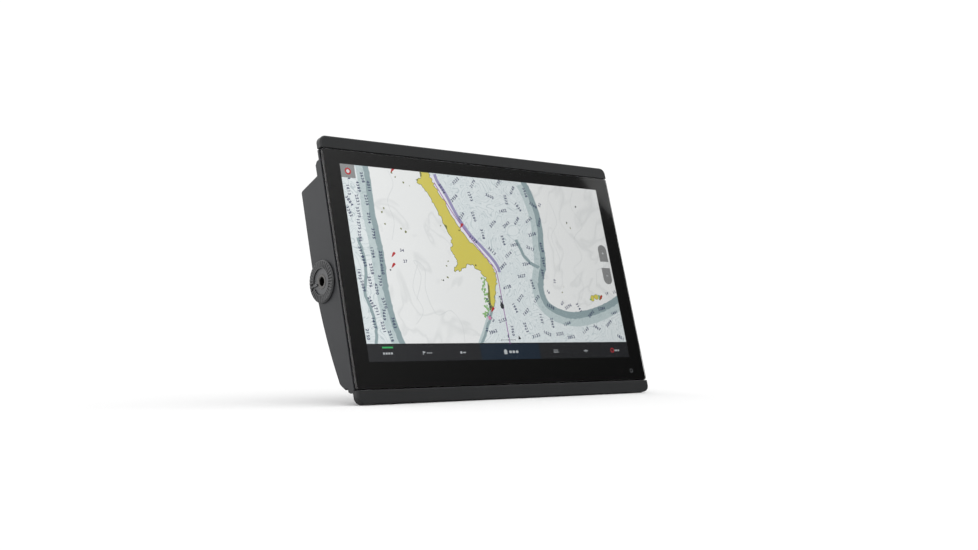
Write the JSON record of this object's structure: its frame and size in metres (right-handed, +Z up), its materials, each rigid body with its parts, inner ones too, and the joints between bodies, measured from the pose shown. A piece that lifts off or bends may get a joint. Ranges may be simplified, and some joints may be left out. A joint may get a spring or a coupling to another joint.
{
  "type": "chartplotter display",
  "caption": "Flat wide-screen chartplotter display with clip-on trim strips, a stepped rear housing, toothed bail sockets, capped rear connectors and a hinged card door.",
  "frame": {"origin": "middle of the plane on which the bezel's flange meets a panel, centred on the four corner holes", "axes": "+X to the right seen from the front, +Y to the back, +Z up along the screen; the screen faces -Y"},
  "size_m": [0.384, 0.0694, 0.26],
  "materials": {
    "cover_glass": "clear, anti-reflection coated, chamfered edge",
    "black_ink": "black border ink",
    "foam_tape": "black bonding foam",
    "coated_alloy": "matt dark grey powder coat",
    "trim_plastic": "fine matt dark grey",
    "board": "green solder mask on glass-fibre laminate",
    "chip": "black moulding compound",
    "sensor_lens": "smoked lens",
    "light_pipe": "milky white",
    "lcd": "polarised, lit from behind",
    "diffuser": "white diffuser film",
    "acrylic": "clear acrylic plate",
    "tray_steel": "zinc-plated pressing",
    "sheet_alloy": "plain sheet",
    "seal_rubber": "black silicone",
    "screw_steel": "stainless",
    "rosette_plastic": "black glass-filled nylon",
    "insert_brass": "nickel-plated brass",
    "insulator": "black nylon",
    "pin_gold": "gold-plated",
    "nut_brass": "nickel-plated",
    "port_plastic": "black moulded",
    "cap_rubber": "black moulded",
    "fin_alloy": "black anodised",
    "pad_alloy": "milled",
    "ceramic": "unglazed dielectric",
    "coil": "ferrite",
    "can_plastic": "sleeved",
    "flex": "amber polyimide",
    "tray_plastic": "black glass-filled, fine texture",
    "vent": "black with a membrane inside"
  },
  "bodies": {
    "unit": {"front_glass": "cover_glass", "border_mask": "black_ink", "bond_tape": "foam_tape", "front_frame": "coated_alloy", "key_board": "board", "light_sensor": "sensor_lens", "power_key_guide": "light_pipe", "lcd_panel": "lcd", "diffuser_sheet": "diffuser", "light_guide": "acrylic", "backlight_tray": "tray_steel", "chassis_plate": "sheet_alloy", "rear_housing": "coated_alloy", "connector_tray": "tray_plastic", "card_tray": "tray_plastic", "case_seal": "seal_rubber", "case_screws": "screw_steel", "rosette_left": "rosette_plastic", "rosette_right": "rosette_plastic", "bail_insert_left": "insert_brass", "bail_insert_right": "insert_brass", "port_insulators": "insulator", "port_pins": "pin_gold", "port_nuts": "nut_brass", "card_door_pin": "screw_steel", "card_board": "board", "card_sockets": "tray_steel", "heat_sink": "fin_alloy", "heat_sink_screws": "screw_steel", "vent_plug": "vent", "ground_screw": "screw_steel", "main_board": "board", "power_board": "board", "connector_board": "board", "board_spacers": "nut_brass", "board_screws": "screw_steel", "processor": "chip", "heat_spreader": "pad_alloy", "shield_can": "tray_steel", "buzzer": "chip", "power_inductor": "coil", "power_capacitors": "can_plastic", "gnss_board": "board", "gnss_patch": "ceramic", "display_ribbon": "flex", "touch_ribbon": "flex", "power_port": "port_plastic", "bus_port": "port_plastic", "network_port_a": "port_plastic", "network_port_b": "port_plastic", "sonar_port": "port_plastic"},
    "top_trim": {"trim_top": "trim_plastic"},
    "bottom_trim": {"trim_bottom": "trim_plastic"},
    "door": {"card_door": "trim_plastic", "card_door_seal": "seal_rubber"},
    "power_cap_body": {"power_cap": "cap_rubber"},
    "bus_cap_body": {"bus_cap": "cap_rubber"},
    "network_cap_a_body": {"network_cap_a": "cap_rubber"},
    "network_cap_b_body": {"network_cap_b": "cap_rubber"},
    "sonar_cap_body": {"sonar_cap": "cap_rubber"}
  },
  "joints": [
    {"name": "trim_top_pull", "type": "slide", "parent": "unit", "child": "top_trim", "axis": [0, -1, 0], "range_m": [0, 0.014]},
    {"name": "trim_bottom_pull", "type": "slide", "parent": "unit", "child": "bottom_trim", "axis": [0, -1, 0], "range_m": [0, 0.014]},
    {"name": "card_door_hinge", "type": "hinge", "parent": "unit", "child": "door", "pos_m": [-0.15, 0.0475, 0.0768], "axis": [1, 0, 0], "range_deg": [0, 100]},
    {"name": "power_cap_pull", "type": "slide", "parent": "unit", "child": "power_cap_body", "axis": [0, 1, 0], "range_m": [0, 0.034]},
    {"name": "bus_cap_pull", "type": "slide", "parent": "unit", "child": "bus_cap_body", "axis": [0, 1, 0], "range_m": [0, 0.034]},
    {"name": "network_cap_a_pull", "type": "slide", "parent": "unit", "child": "network_cap_a_body", "axis": [0, 1, 0], "range_m": [0, 0.034]},
    {"name": "network_cap_b_pull", "type": "slide", "parent": "unit", "child": "network_cap_b_body", "axis": [0, 1, 0], "range_m": [0, 0.034]},
    {"name": "sonar_cap_pull", "type": "slide", "parent": "unit", "child": "sonar_cap_body", "axis": [0, 1, 0], "range_m": [0, 0.034]}
  ]
}
